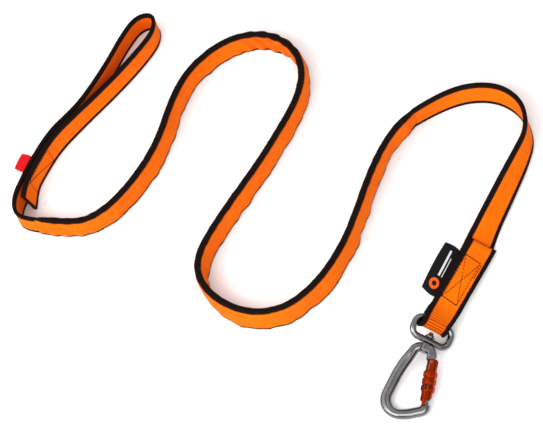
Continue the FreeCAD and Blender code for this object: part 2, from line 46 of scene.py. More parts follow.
# ---- sizes, mm ----
WIDTH, THICK = 25.0, 2.8
WOVEN_WIDTH = 24.6         # webbing between its rolled edges
TUBE_WIDTH, TUBE_THICK = 25.2, 6.4
STRIPE = 4.0               # black edge of the flat webbing
TUBE_STRIPE = 1.9          # and of the tube
TUBE_EDGE_POWER, TUBE_FACE_POWER = 0.42, 0.55          # how square the tube's section is
TAIL_LENGTH, LAYER_GAP = 76.5, 0.25
FOLD_SLACK = 1.2           # the fold hangs this loosely on the bar
FOLD_GATHER, FOLD_STANDOFF = 0.06, 0.9          # gathered by this share, and its edges lifted off the bar
FRONT_STEP, TUBE_STEP, HANDLE_STEP = 0.9, 0.62, 1.0          # along a strap, from row to row of points
PINCH, PINCH_REACH = 0.52, 13.0          # the tube thins by this share at a sewn end, over this length
STRIPE_BLEND = 16.0        # over which the tube's stripe narrows from the front webbing's
RISE_LEAN = 47.0           # the strap's lean, in degrees, where it leaves the sewn stack
EYE_ROD, EYE_TOP, EYE_BOTTOM = 2.6, 9.8, -5.4
WRAP_R = EYE_ROD + 0.35 + THICK / 2          # from the middle of the bar to the middle of the strap
PITCH, EYE_TURN, STRAP_SKEW, STRAP_BEND = 7.4, 38.0, 8.0, 6.0
STEM_ORIGIN = Vector((-1.05, 27.58, 12.68))
ROUTE_ORIGIN = Vector((0.65, -1.17, 0))
HINGE = Vector((9.7, -20.6, 0))
GATE_ANGLE = 11.6
BOSS_R, BOSS_TOP, BOSS_BOTTOM = 4.5, -8.15, -14.0
KNUCKLE_CLEAR = 5.05       # room in the arm for the gate's barrel
TONGUE_R, TONGUE_HALF = 2.7, 1.6
PIN_SLOT = (17.4, 22.2, -0.85, 0.85, 0, 8)          # cut in the grip, over the guide pin
FRAME_PATH = [(9.9, -21.6), (4.6, -11.2), (-6.6, -11.0), (-12.8, -32.8), (-15.9, -72.4), (7.0, -63.8),
              (17.9, -57.2), (16.9, -53.3)]
FRAME_BENDS = [5.0, 6.0, 90.0, 12.0, 30.0, 3.7]

FRONT_ROUTE = [(2.9, 134, 11.0, 54), (3.8, 153, 11.8, 59), (4.4, 172, 12.2, 63), (5.0, 191, 12.5, 70),
               (4.2, 210, 12.7, 82), (-8.0, 228, 12.7, 95), (-26.0, 235.3, 12.7, 101),
               (-43.2, 233.8, 12.7, 99), (-61.5, 225.0, 12.6, 96), (-78.6, 207.8, 12.6, 92),
               (-87.5, 195, 12.5, 90)]
BUNGEE_ROUTE = [(-87.5, 195), (-93, 182), (-97, 164), (-98, 138), (-95, 106), (-93, 78), (-95.5, 50),
                (-102, 28), (-112, 10), (-129, -2.6), (-149, -6.3), (-170, -3), (-188, 6.8), (-197, 24),
                (-196, 48), (-191, 80), (-185, 112), (-181, 146), (-179, 177), (-185, 200), (-201, 217),
                (-225.7, 221), (-249, 210.4), (-265.7, 189), (-274, 164), (-274, 138), (-270, 110),
                (-270.5, 87), (-274.6, 62.5), (-283.2, 37), (-296.5, 20.5), (-316, 14), (-334, 9.8)]
HANDLE_ROUTE = [(-334, 9.8), (-347.5, 6.5), (-356, 16), (-357.6, 34), (-357.2, 57), (-355, 81), (-347, 105),
                (-342, 130), (-339, 156), (-338, 180), (-334.5, 200), (-322, 207.5), (-315, 194),
                (-319, 174), (-326.3, 149), (-334.6, 126), (-343.2, 104), (-351.6, 80.5), (-354, 57),
                (-354.4, 35), (-350.5, 24.5)]
# how far the lower edge of the limp tube hangs out of line with its upper edge: distance, x, y
SWAY = [(0, 0, 0), (18, -1.2, 0), (45, 0.2, -0.6), (75, 0.8, -0.8), (135, 2.8, -0.8), (180, 1.5, -1.7),
        (234, 0.8, -2.5), (290, 2.6, 0), (325, 1.4, -0.8), (375, 1.7, -0.8), (430, 0.8, -0.8),
        (480, 2.2, -0.4), (525, 0.8, 1.2), (560, 0.4, 0), (585, 0.4, -0.4), (615, 2.1, -0.8),
        (660, 2.3, -0.8), (705, 1.4, -1.0), (745, 0.1, 0.1), (775, 0.5, -0.5), (800, 0, 0)]


# ---- small helpers ----
def smooth(x, low, high):
    t = min(1.0, max(0.0, (x - low) / (high - low)))
    return t * t * (3 - 2 * t)


def wobble(*at):
    return noise.noise(Vector((*at, 0.0, 0.0)[:3]))


def stem_vector(v):
    return Matrix.Rotation(math.radians(PITCH), 3, "X") @ Vector(v)


BAR = STEM_ORIGIN + stem_vector((0, EYE_TOP, 0))
turn, bend, skew = (math.radians(d) for d in (EYE_TURN, STRAP_BEND, STRAP_SKEW))
BAR_AXIS = stem_vector((math.cos(turn), 0, -math.sin(turn)))
EYE_NORMAL = stem_vector((math.sin(turn), 0, math.cos(turn)))
STEM_AXIS = stem_vector((0, 1, 0))
FOLD_ALONG = STEM_AXIS * math.cos(bend) - EYE_NORMAL * math.sin(bend)
STACK_UP = EYE_NORMAL * math.cos(bend) + STEM_AXIS * math.sin(bend)
STACK_ALONG = FOLD_ALONG * math.cos(skew) + BAR_AXIS * math.sin(skew)
STACK_ACROSS = BAR_AXIS * math.cos(skew) - FOLD_ALONG * math.sin(skew)
LAYER = (THICK + LAYER_GAP) / 2


def stack_point(along, across, up):
    """A point, in mm, in the frame of the sewn front stack."""
    return BAR + STACK_ALONG * along + STACK_ACROSS * across + STACK_UP * up


def tail_shift(d):
    """How far right the tail lies, at a distance from the bar."""
    return 0.3 + 0.05 * d - 0.0001 * d * d - 1.2 * (1 - smooth(d, 0, 17))


def main_shift(d):
    """How far right the layer under the tail lies."""
    return 0.5 + 2.25 * smooth(d, 0, 15) - 1.4 * smooth(d, 64, 86)


def spline_line(points):
    """The smooth line that a route's NURBS spline follows."""
    curve = bpy.data.curves.new("route", "CURVE")
    curve.dimensions = "3D"
    curve.resolution_u = 20
    spline = curve.splines.new("NURBS")
    spline.points.add(len(points) - 1)
    for knot, p in zip(spline.points, points):
        knot.co = (p[0] * MM, p[1] * MM, p[2] * MM, 1)
    spline.order_u = 3
    spline.use_endpoint_u = True
    carrier = bpy.data.objects.new("route", curve)
    mesh = bpy.data.meshes.new_from_object(carrier)
    line = [v.co / MM for v in mesh.vertices]
    bpy.data.objects.remove(carrier)
    bpy.data.meshes.remove(mesh)
    bpy.data.curves.remove(curve)
    return line


def evenly(line, values, step):
    """The line with its values at equal steps; returns (point, value, distance) triples."""
    lengths = [0.0]
    for a, b in zip(line, line[1:]):
        lengths.append(lengths[-1] + (b - a).length)
    count = max(2, round(lengths[-1] / step))
    out, k = [], 0
    for i in range(count + 1):
        s = lengths[-1] * i / count
        while k < len(line) - 2 and lengths[k + 1] < s:
            k += 1
        t = (s - lengths[k]) / max(1e-9, lengths[k + 1] - lengths[k])
        value = values[k] + (values[k + 1] - values[k]) * t
        out.append((line[k].lerp(line[k + 1], t), value, s))
    return out


def lean_across(along, lean):
    """Direction of a strap's right edge where it heads along and leans, its left edge up."""
    right = along.cross(Z_AXIS).normalized()
    return right * math.cos(math.radians(lean)) - right.cross(along) * math.sin(math.radians(lean))


def make_object(name, verts, faces, body, materials, attribute=None, material_index=None):
    """A smooth-shaded mesh piece in metres, from points in mm, riding on a body."""
    mesh = bpy.data.meshes.new(name)
    mesh.from_pydata([Vector(v) * MM for v in verts], [], faces)
    mesh.update()
    if attribute:
        layer = mesh.attributes.new("strap", "FLOAT_VECTOR", "POINT")
        for item, value in zip(layer.data, attribute):
            item.vector = value
    for m in materials:
        mesh.materials.append(m)
    for polygon in mesh.polygons:
        polygon.use_smooth = True
        if material_index:
            polygon.material_index = material_index[polygon.index]
    obj = bpy.data.objects.new(name, mesh)
    bpy.context.scene.collection.objects.link(obj)
    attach(obj, body)
    return obj


# ---- material tools ----
class Paint:
    """A principled material and short names for the nodes that feed it."""

    def __init__(self, name, colour, roughness, metallic=0.0, **sockets):
        self.material = bpy.data.materials.new(name)
        self.material.use_nodes = True
        self.tree = self.material.node_tree
        self.shader = self.tree.nodes["Principled BSDF"]
        self.shader.inputs["Base Color"].default_value = (*colour, 1)
        self.shader.inputs["Roughness"].default_value = roughness
        self.shader.inputs["Metallic"].default_value = metallic
        for key, value in sockets.items():
            self.shader.inputs[key.replace("_", " ")].default_value = value

    def put(self, socket, value):
        if isinstance(value, bpy.types.NodeSocket):
            self.tree.links.new(value, socket)
        elif isinstance(value, (tuple, list, Vector)) and len(socket.default_value) == 4 and len(value) == 3:
            socket.default_value = (*value, 1)
        else:
            socket.default_value = value

    def to(self, name, value):
        self.put(self.shader.inputs[name], value)

    def math(self, operation, a, b=0.0, c=None):
        node = self.tree.nodes.new("ShaderNodeMath")
        node.operation = operation
        self.put(node.inputs[0], a)
        self.put(node.inputs[1], b)
        if c is not None:
            self.put(node.inputs[2], c)
        return node.outputs[0]

    def add(self, a, b):
        return self.math("ADD", a, b)

    def mul(self, a, b):
        return self.math("MULTIPLY", a, b)

    def step(self, value, low, high, start=0.0, end=1.0):
        node = self.tree.nodes.new("ShaderNodeMapRange")
        node.interpolation_type = "SMOOTHSTEP"
        self.put(node.inputs["Value"], value)
        for key, x in (("From Min", low), ("From Max", high), ("To Min", start), ("To Max", end)):
            self.put(node.inputs[key], x)
        return node.outputs["Result"]

    def wave(self, value, pitch, phase=0.0):
        """0 to 1 and back once in every pitch."""
        angle = self.add(self.mul(value, 2 * math.pi / pitch), phase)
        return self.math("MULTIPLY_ADD", self.math("COSINE", angle), 0.5, 0.5)

    def mix(self, factor, a, b):
        node = self.tree.nodes.new("ShaderNodeMix")
        node.data_type = "RGBA"
        self.put(node.inputs["Factor"], factor)
        self.put(node.inputs[6], a)
        self.put(node.inputs[7], b)
        return node.outputs[2]

    def strap(self):
        """Across, along and side of a strap, in mm."""
        node = self.tree.nodes.new("ShaderNodeAttribute")
        node.attribute_name = "strap"
        split = self.tree.nodes.new("ShaderNodeSeparateXYZ")
        self.tree.links.new(node.outputs["Vector"], split.inputs[0])
        return split.outputs

    def position(self):
        return self.tree.nodes.new("ShaderNodeTexCoord").outputs["Object"]

    def combine(self, x, y, z):
        node = self.tree.nodes.new("ShaderNodeCombineXYZ")
        for socket, value in zip(node.inputs, (x, y, z)):
            self.put(socket, value)
        return node.outputs[0]

    def noise(self, where, scale, detail=2.0, roughness=0.5):
        node = self.tree.nodes.new("ShaderNodeTexNoise")
        self.put(node.inputs["Vector"], where)
        node.inputs["Scale"].default_value = scale
        node.inputs["Detail"].default_value = detail
        node.inputs["Roughness"].default_value = roughness
        return node.outputs["Fac"]

    def bump(self, height, distance_mm):
        node = self.tree.nodes.new("ShaderNodeBump")
        node.inputs["Strength"].default_value = 1.0
        node.inputs["Distance"].default_value = distance_mm * MM
        self.put(node.inputs["Height"], height)
        self.to("Normal", node.outputs["Normal"])


CREASE, CREASE_SLANT = 1.7, 0.18        # a wrinkle comes every 2 pi times CREASE, slanting across the tube
# at, reach, depth
WRINKLES = [(512.0, 26.0, 1.9), (60.0, 30.0, 0.6), (300.0, 45.0, 0.6), (760.0, 40.0, 0.8)]
# the first orange is the webbing's own colour; the second is its painted shade in the weave's low places
LIGHT_ORANGE, WEAVE_SHADE_ORANGE = (0.95, 0.200, 0.002), (0.76, 0.110, 0.001)
WARM_ORANGE, FLECK_ORANGE = (0.80, 0.110, 0.002), (0.66, 0.080, 0.001)
# painted shade colours: the first for the rib valleys at the front fold, the second for the tube's wrinkles
FOLD_SHADE_ORANGE, WRINKLE_SHADE_ORANGE = (0.26, 0.022, 0.001), (0.50, 0.050, 0.001)
RIB_PITCH, FOLD_AT = 1.66, 84.0        # creases at the front fold, and its distance from the tail's cut end


def webbing_paint(name, stripe_at, rib_pitch, column_pitch, jag, bump, fleck_depth, fold_at=None,
                  low_stripe=0.0, wrinkle_shade=False):
    """Woven orange strap with black selvedges: ribs across, columns of yarn along, a stepped stripe edge,
    with painted shade in the weave's low places and, when asked, at the front fold and in the tube's
    wrinkles.
    """
    p = Paint(name, LIGHT_ORANGE, 0.85, Sheen_Weight=0.03, Sheen_Roughness=0.6,
              Sheen_Tint=(1.0, 0.35, 0.05, 1), Specular_IOR_Level=0.04)
    across, along, side = p.strap()
    where = p.combine(across, along, p.mul(side, 7.0))
    grain = p.noise(where, 1.9, 3.0, 0.6)
    fleck = p.noise(where, 0.42, 3.0, 0.65)
    blotch = p.noise(where, 0.055, 2.0)
    stagger = p.math("SINE", p.mul(across, 2 * math.pi / (column_pitch * 2)))
    ribs = p.wave(along, rib_pitch, p.mul(stagger, 0.9))
    columns = p.wave(across, column_pitch)
    weave = p.add(p.mul(ribs, 0.62), p.add(p.mul(columns, 0.2), p.mul(grain, 0.3)))
    steps = p.mul(p.math("SINE", p.mul(along, 2 * math.pi / (rib_pitch * 1.5))), jag)
    rough_edge = p.add(steps, p.mul(p.add(grain, -0.5), jag * 3.5))
    distance = p.add(p.math("ABSOLUTE", across), rough_edge)
    lower = p.mul(p.step(across, 0.0, 1.0), low_stripe)
    black = p.step(p.add(distance, lower), stripe_at - 0.12, stripe_at + 0.12)
    # painted shade: the weave's low places are painted deeper orange, mixed with random tone from the grain
    orange = p.mix(p.step(weave, 0.25, 0.8), WEAVE_SHADE_ORANGE, LIGHT_ORANGE)
    warm = p.mix(p.step(blotch, 0.3, 0.75), orange, p.mix(0.5, orange, WARM_ORANGE))
    warm = p.mix(p.step(fleck, 0.42, 0.66, 0.0, fleck_depth), warm, FLECK_ORANGE)
    # painted shade: the black selvedge is also painted darker in the weave's low places
    ink = p.mix(p.step(weave, 0.35, 0.95), (0.002, 0.0012, 0.0013), (0.0105, 0.007, 0.007))
    if fold_at:
        # painted shade: the ribs close up and shade each other where the webbing turns round the bar, so
        # their valleys are painted darker there
        near = p.mul(p.step(along, fold_at - 22, fold_at - 2),
                     p.step(along, fold_at + 6, fold_at + 12, 1.0, 0.0))
        rib_shade = p.math("MULTIPLY_ADD", p.wave(along, RIB_PITCH, math.pi), 0.8, 0.2)
        warm = p.mix(p.mul(near, rib_shade), warm, FOLD_SHADE_ORANGE)
    if wrinkle_shade:
        # painted shade in the wrinkles near the top of the S: dark slanting stripes in step with the dimples
        # of the tube's shape
        at, reach, _ = WRINKLES[0]
        dent = p.wave(along, 2 * math.pi * CREASE, p.math("MULTIPLY_ADD", across, CREASE_SLANT, math.pi / 2))
        here = p.step(p.math("ABSOLUTE", p.add(along, -at)), reach * 0.5, reach * 1.3, 0.5, 0.0)
        warm = p.mix(p.mul(dent, here), warm, WRINKLE_SHADE_ORANGE)
    p.to("Base Color", p.mix(black, warm, ink))
    p.to("Roughness", p.math("MULTIPLY_ADD", grain, 0.2, 0.66))
    p.bump(weave, bump)
    return p.material


def metal_paint(name, colour, roughness, wear=0.08, bump=0.02, metallic=1.0):
    """Metal or plastic with a faint wear in its shine."""
    p = Paint(name, colour, roughness, metallic)
    scale = 900.0
    where = p.position()
    fine = p.noise(where, scale, 4.0, 0.6)
    broad = p.noise(where, scale / 9, 2.0)
    p.to("Roughness", p.math("MULTIPLY_ADD", fine, wear * 1.6, roughness - wear * 0.8))
    dull = tuple(c * 0.92 for c in colour)
    p.to("Base Color", p.mix(p.step(broad, 0.35, 0.7), colour, dull))
    if bump:
        p.bump(p.add(p.mul(fine, 0.5), p.mul(broad, 0.5)), bump)
    return p.material


webbing = webbing_paint("orange_webbing", WOVEN_WIDTH / 2 - STRIPE, 1.15, 0.8, 0.32, 0.22, 0.22, FOLD_AT)
tube_cloth = webbing_paint("orange_tube", TUBE_WIDTH / 2 - TUBE_STRIPE, 0.9, 0.65, 0.5, 0.2, 0.4,
                           low_stripe=1.8, wrinkle_shade=True)
thread = Paint("dark_thread", (0.02, 0.005, 0.004), 0.8, Specular_IOR_Level=0.1)
twist = thread.position()
thread.bump(thread.noise(twist, 2600, 2.0), 0.05)
thread.to("Base Color",
          thread.mix(thread.noise(twist, 160, 1.0), (0.008, 0.002, 0.002), (0.075, 0.012, 0.003)))
tack_thread = Paint("orange_thread", (0.72, 0.12, 0.002), 0.85, Specular_IOR_Level=0.05)
tack_thread.bump(tack_thread.noise(tack_thread.position(), 2600, 2.0), 0.05)
tack_thread = tack_thread.material


def end_paint(name, light, dark):
    """Cut and heat-sealed yarn ends: the colours of the webbing, and black at its edges."""
    p = Paint(name, light, 0.7, Specular_IOR_Level=0.1)
    grain = p.noise(p.position(), 900, 3.0)
    across = p.math("ABSOLUTE", p.strap()[0])
    selvedge = p.step(across, WOVEN_WIDTH / 2 - STRIPE - 0.2, WOVEN_WIDTH / 2 - STRIPE + 0.2)
    yarn = p.mix(p.step(grain, 0.35, 0.65), dark, light)
    p.to("Base Color", p.mix(selvedge, yarn, (0.004, 0.0025, 0.0025)))
    p.bump(grain, 0.12)
    return p.material


cut_end = end_paint("cut_end", (0.62, 0.085, 0.003), (0.26, 0.026, 0.003))
singed = end_paint("singed_end", (0.020, 0.006, 0.004), (0.004, 0.002, 0.002))
steel = metal_paint("polished_steel", (0.20, 0.20, 0.202), 0.22, wear=0.02, bump=0.0)
aluminium = metal_paint("polished_aluminium", (0.175, 0.175, 0.177), 0.22, wear=0.02, bump=0.0)
dark_metal = metal_paint("dark_aluminium", (0.20, 0.20, 0.21), 0.38)
anodised = metal_paint("orange_anodised", (0.31, 0.024, 0.001), 0.3, wear=0.04, bump=0.006)
plastic = metal_paint("black_plastic", (0.02, 0.02, 0.022), 0.5, metallic=0.0)
wire = metal_paint("spring_steel", (0.4, 0.4, 0.41), 0.3)


# ---- straps ----
def skin(rows, n, start=0):
    """Faces over rows of n points each, closed round, with the first and last end as the last two faces."""
    faces = []
    for i in range(rows - 1):
        a, b = start + i * n, start + (i + 1) * n
        for k in range(n):
            j = (k + 1) % n
            faces.append((a + k, a + j, b + j, b + k))
    last = start + (rows - 1) * n
    faces.append(tuple(start + k for k in reversed(range(n))))
    faces.append(tuple(last + k for k in range(n)))
    return faces


def webbing_ring(width, thick):
    """Outline of a flat strap: (across, up) points, once round, with rolled selvedges."""
    edge_points, face_points = 5, 15
    r = thick / 2
    half = width / 2
    ring = []
    for side in (1, -1):
        for i in range(face_points):
            a = -(half - r) + (2 * half - 2 * r) * i / (face_points - 1)
            roll = 0.16 * smooth(abs(a), half - STRIPE - 0.4, half - STRIPE + 0.5)
            ring.append((a * side, side * (r - 0.12 + roll)))
        for i in range(1, edge_points + 1):
            angle = math.pi / 2 - math.pi * i / (edge_points + 1)
            ring.append((side * (half - r + r * math.cos(angle)), side * r * math.sin(angle)))
    return ring


def tube_ring(width, thick):
    """Outline of the padded tube: a rounded bar with nearly square edges."""
    ring, count = [], 44
    for i in range(count):
        angle = 2 * math.pi * i / count
        c, s = math.cos(angle), math.sin(angle)
        ring.append((width / 2 * math.copysign(abs(c) ** TUBE_EDGE_POWER, c),
                     thick / 2 * math.copysign(abs(s) ** TUBE_FACE_POWER, s)))
    return ring


def sweep(stations, ring, shape, start=0):
    """Vertices, attribute values and faces of a ring carried along stations (point, across, up, distance)."""
    verts, values = [], []
    for point, across, up, s in stations:
        for a, u in ring:
            da, du = shape(a, u, s)
            verts.append(point + across * (a + da) + up * (u + du))
            values.append((a, s, 1.0 if u >= 0 else -1.0))
    return verts, values, skin(len(stations), len(ring), start)


def headed(samples, first=None):
    """Adds the heading to (point, value, distance) samples; first is the heading that the first one gets."""
    out = []
    for i, (p, value, s) in enumerate(samples):
        a, b = samples[max(0, i - 1)][0], samples[min(len(samples) - 1, i + 1)][0]
        out.append((p, (b - a).normalized(), value, s))
    if first:
        out[0] = (out[0][0], first, *out[0][2:])
    return out


def front_stations():
    """Front webbing from the tail's cut end down to the eye's bar and round it."""
    out, s = [], 0.0
    steps, arc_steps = 60, 44
    previous = None
    for i in range(steps + 1):
        d = TAIL_LENGTH * (1 - i / steps)
        near = smooth(d, 2.0, 17.0)
        point = stack_point(d, tail_shift(d), LAYER + (WRAP_R - LAYER) * (1 - near))
        s += (point - previous).length if previous else 0.0
        previous = point
        out.append((point, STACK_ACROSS, STACK_UP, s))
    for i in range(1, arc_steps + 1):
        angle = math.pi * i / arc_steps
        outward = STACK_UP * math.cos(angle) - STACK_ALONG * math.sin(angle)
        s += WRAP_R * math.pi / arc_steps
        shift = tail_shift(0) + (main_shift(0) - tail_shift(0)) * i / arc_steps
        out.append((stack_point(0, shift, 0) + outward * WRAP_R, STACK_ACROSS, outward, s))
    return out


rise_points = [stack_point(0, main_shift(0), -WRAP_R), stack_point(8, main_shift(8), -4.2)]
for d in (17.0, 34.0, 58.0, 72.0, 84.0):
    rise_points.append(stack_point(d, main_shift(d), -LAYER))
fold_count = len(rise_points)
rise_points += [Vector(p[:3]) + ROUTE_ORIGIN for p in FRONT_ROUTE]
# lean of the stack: the angle of its across direction below the level
stack_lean = math.degrees(math.asin(-STACK_ACROSS.z))
leans = [stack_lean] * (fold_count - 1) + [RISE_LEAN] + [p[3] for p in FRONT_ROUTE]
front_line = spline_line(rise_points)
front_lean = [v.x for v in spline_line([(lean, 0, 0) for lean in leans])]


def front_piece():
    """The whole front webbing as one strap: tail, wrap, the layer under it and the rise onto its edge."""
    top = front_stations()
    s = top[-1][3]
    lower = []
    for point, along, lean, d in headed(evenly(front_line, front_lean, FRONT_STEP), STACK_ALONG):
        across = STACK_ACROSS.lerp(lean_across(along, lean), smooth(d, 58.0, 86.0))
        across = (across - along * across.dot(along)).normalized()
        # the outside of the wrap is this layer's lower face
        lower.append((point, across, along.cross(across).normalized(), s + d))
    stations = top + lower[1:]
    bar_at = s - (EYE_ROD + THICK / 2) * math.pi / 2
    ring = webbing_ring(WOVEN_WIDTH, THICK)

    def shape(a, u, d):
        fold = smooth(d, bar_at - 30, bar_at - 10) * (1 - smooth(d, bar_at + 12, bar_at + 22))
        crease = 0.30 if abs(a) < WOVEN_WIDTH / 2 - STRIPE else 0.16
        ribs = crease * fold * math.cos(2 * math.pi * d / RIB_PITCH)
        ripple = 0.05 * wobble(d * 0.9, a * 0.6, 3.0)
        fray = 0.12 * wobble(d * 1.3, math.copysign(5, a), 9.0) * smooth(abs(a), 10.5, 12)
        thin = -0.8 * u * (1 - smooth(d, 0.0, 5.0)) if u > 0 else 0.0
        rim = 0.32 * smooth(abs(a), 7.5, 9.5) * smooth(d, bar_at + 88, bar_at + 125)
        return math.copysign(fray, a), math.copysign(ribs + rim, u) + ripple + thin

    verts, values, faces = sweep(stations, ring, shape)
    n = len(ring)
    for i, (_, _, _, d) in enumerate(stations):
        # the fold follows the bar, which crosses the strap at a slant and bends down at the eye's corners
        near = 1 - smooth(abs(d - bar_at), 5.0, 15.0)
        around = 1 - smooth(abs(d - bar_at), 6.0, 14.0)
        cut = 1 - smooth(d, 0.0, 9.0)
        for k in range(n):
            a = values[i * n + k][0]
            slant = math.tan(skew) * (a + 1) - 0.9 * smooth(abs(a), 9.0, 12.5) - FOLD_SLACK
            square = -3.2 * (0.5 - a / WIDTH) + 0.5 * wobble(a * 0.45, 3.0, 8.0)
            v = verts[i * n + k] + STACK_ALONG * (near * slant + cut * square)
            # the fold is gathered, and its edges stand off the eye's corners so that the eye can swing
            x = (v - BAR).dot(BAR_AXIS)
            radial = v - BAR - BAR_AXIS * x
            v -= BAR_AXIS * (x * FOLD_GATHER * around)
            verts[i * n + k] = v + radial.normalized() * (FOLD_STANDOFF * smooth(abs(x), 8.5, 12.3) * around)
    return verts, values, faces


ring_size = len(webbing_ring(WOVEN_WIDTH, THICK))
verts, values, faces = front_piece()
# the cut end and the first row behind it
indices = [1] * ring_size + [0] * (len(faces) - ring_size)
indices[-2] = 1
front_strap = make_object("front_strap", verts, faces, "leash", [webbing, cut_end], values,
                          indices)
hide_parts("front_webbing")


def route_line(route):
    return spline_line([Vector((x, y, WIDTH / 2)) + ROUTE_ORIGIN for x, y in route])


def line_length(line):
    return sum((b - a).length for a, b in zip(line, line[1:]))


def swayed(s):
    """Sideways place of the tube's lower edge at a distance along it."""
    for (s0, x0, y0), (s1, x1, y1) in zip(SWAY, SWAY[1:]):
        if s <= s1:
            t = smooth(s, s0, s1)
            return Vector((x0 + (x1 - x0) * t, y0 + (y1 - y0) * t, 0))
    return Vector((0, 0, 0))


def standing(line, step, ring, shape, offset=0.0, start=0):
    """A strap on its edge along a level line."""
    across = -Z_AXIS
    stations = []
    for point, along, _, d in headed(evenly(line, [0.0] * len(line), step)):
        stations.append((point, across, across.cross(along).normalized(), offset + d))
    return sweep(stations, ring, shape, start)


def tube_shape(a, u, s):
    """The gathered tube: its lower edge wanders, its faces swell and dimple, its rims are looped."""
    low = smooth(a, -6.0, 11.0)
    swell = 0.30 * wobble(s / 9.0, a / 11.0, 2.0) + 0.28 * wobble(s / 22.0, a / 16.0, 11.0)
    fold = sum(depth * math.exp(-((s - at) / reach) ** 2) for at, reach, depth in WRINKLES)
    dimple = fold * math.sin(s / CREASE + a * CREASE_SLANT)
    lateral = (0.9 * low + 0.2) * wobble(s / 9.0, 31.0, 5.0) + 1.3 * low * wobble(s / 24.0, 8.0, 2.0)
    edge = (0.35 * wobble(s / 3.1, math.copysign(6.0, a), 1.0)
            + 0.5 * wobble(s / 12.0, math.copysign(9.0, a), 7.0))
    rim = smooth(abs(a), 9.0, 12.0)
    loops = 0.42 * (0.5 + 0.5 * math.sin(2 * math.pi * s / 2.3 + 1.2 * u)) * (0.6 + wobble(s / 2.3, a, u))
    bound = PINCH * (1 - smooth(min(s, tube_length - s), 0.0, PINCH_REACH))
    dent = dimple * (1 - 0.7 * rim) * math.copysign(0.5, u)
    out = math.copysign(swell * 0.5 + loops * rim * 0.8, u) * (1 - bound) - u * bound + dent
    return math.copysign(loops, a) * rim + edge * rim * (1 if a < 0 else 0.5), out + lateral


def handle_shape(a, u, s):
    """Selvedges are thicker, and the two legs of the handle lean so that their lower edges splay."""
    rim = smooth(abs(a), 8.5, 12.0)
    from_start, from_end = s - tube_length, handle_end - s
    first = 2.5 * smooth(from_start, 14, 38) * (1 - smooth(from_start, 95, 130))
    last = 1.5 * (1 - smooth(from_end, 150, 190)) + 1.1 * (1 - smooth(from_end, 60, 100))
    flare = 3.0 * (1 - smooth(from_end, 3, 24))
    lean = first * (a / WIDTH - 0.3) - last * (a / WIDTH + 0.1) - flare * (a / WIDTH + 0.35)
    edge = 0.12 * rim * wobble(s * 0.7, math.copysign(4.0, a), 2.0)
    return edge, lean + 0.05 * wobble(s * 0.6, a * 0.5, 1.0) + math.copysign(0.15 * rim, u)


tube_line, handle_line = route_line(BUNGEE_ROUTE), route_line(HANDLE_ROUTE)
tube_length, handle_length = line_length(tube_line), line_length(handle_line)
handle_end = tube_length + handle_length
verts, values, faces = standing(tube_line, TUBE_STEP, tube_ring(TUBE_WIDTH, TUBE_THICK), tube_shape)
for i, (a, s, _) in enumerate(values):
    verts[i] = verts[i] + swayed(s) * (a / TUBE_WIDTH + 0.5)
more, more_values, more_faces = standing(
    handle_line, HANDLE_STEP, webbing_ring(WOVEN_WIDTH, THICK), handle_shape, tube_length, len(verts))
# the handle's last row and cut end
indices = [0] * len(faces) + [1] * (len(more_faces) - ring_size - 2) + [2] * ring_size + [1, 2]
# the tube's edge stripe widens into the flat webbing's at the front join
stripe_gain = (WIDTH / 2 - TUBE_STRIPE) / (WIDTH / 2 - STRIPE) - 1
values = [(a * (1 + stripe_gain * (1 - smooth(s, 0.0, STRIPE_BLEND))), s, side) for a, s, side in values]
long_strap = make_object("tube_and_handle", verts + more, faces + more_faces, "leash",
                         [tube_cloth, webbing, singed], values + more_values, indices)
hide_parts("bungee_cover", "bungee_core", "handle_webbing")


# ---- stitching ----
def stitch(verts, faces, centre, along, side, up, length, width, height):
    """One float of thread: a small domed capsule whose ends go down into the cloth."""
    rings, spokes = 6, 6
    first = len(verts)
    for i in range(rings + 1):
        t = -1 + 2 * i / rings
        r = math.sqrt(max(0.0, 1 - abs(t) ** 3))
        for k in range(spokes):
            angle = 2 * math.pi * k / spokes
            verts.append(centre + along * (t * length / 2) + side * (width / 2 * r * math.cos(angle))
                         + up * (height * r * math.sin(angle) - 0.3 * height * t * t))
    faces.extend(skin(rings + 1, spokes, first))


def seam(verts, faces, start, end, up, width, pitch=2.7, length=2.4, height=0.34):
    """A row of stitches from one point to another on a surface that faces up."""
    run = end - start
    count = max(1, round(run.length / pitch))
    along = run.normalized()
    side = up.cross(along).normalized()
    for i in range(count):
        centre = start + run * ((i + 0.5) / count) + side * (0.14 * wobble(i * 1.7, start.x, start.y))
        lean = side * (0.18 * wobble(i * 2.3, start.y, 4.0))
        stitch(verts, faces, centre, (along + lean).normalized(), side, up, length, width, height)


BOX_START, BOX_END = 20.2, 59.2
STRONG, MEDIUM, FAINT = 1.0, 0.7, 0.6     # width of a stitch that stands proud, down to one pulled in
rows = [((BOX_START, -7.6), (BOX_START, 7.4), STRONG), ((BOX_END, -5.6), (BOX_END + 0.5, 9.4), STRONG),
        ((BOX_START, -6.6), (BOX_END, -5.2), FAINT), ((BOX_START, 7.2), (BOX_END, 8.2), FAINT),
        ((46.0, 9.5), (BOX_END, 9.7), MEDIUM), ((BOX_START + 2, -5.6), (BOX_END - 2, 8.0), FAINT),
        ((BOX_START, 7.4), (BOX_END - 2, -4.6), FAINT)]
stitch_verts, stitch_faces = [], []
for p, q, width in rows:
    for sign in (1, -1):
        level = sign * (LAYER + THICK / 2 - 0.02)
        seam(stitch_verts, stitch_faces, stack_point(*p, level), stack_point(*q, level),
             STACK_UP * sign, width)
front_stitch = make_object("box_stitch", stitch_verts, stitch_faces, "leash", [thread.material])
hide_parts("box_stitch_front")


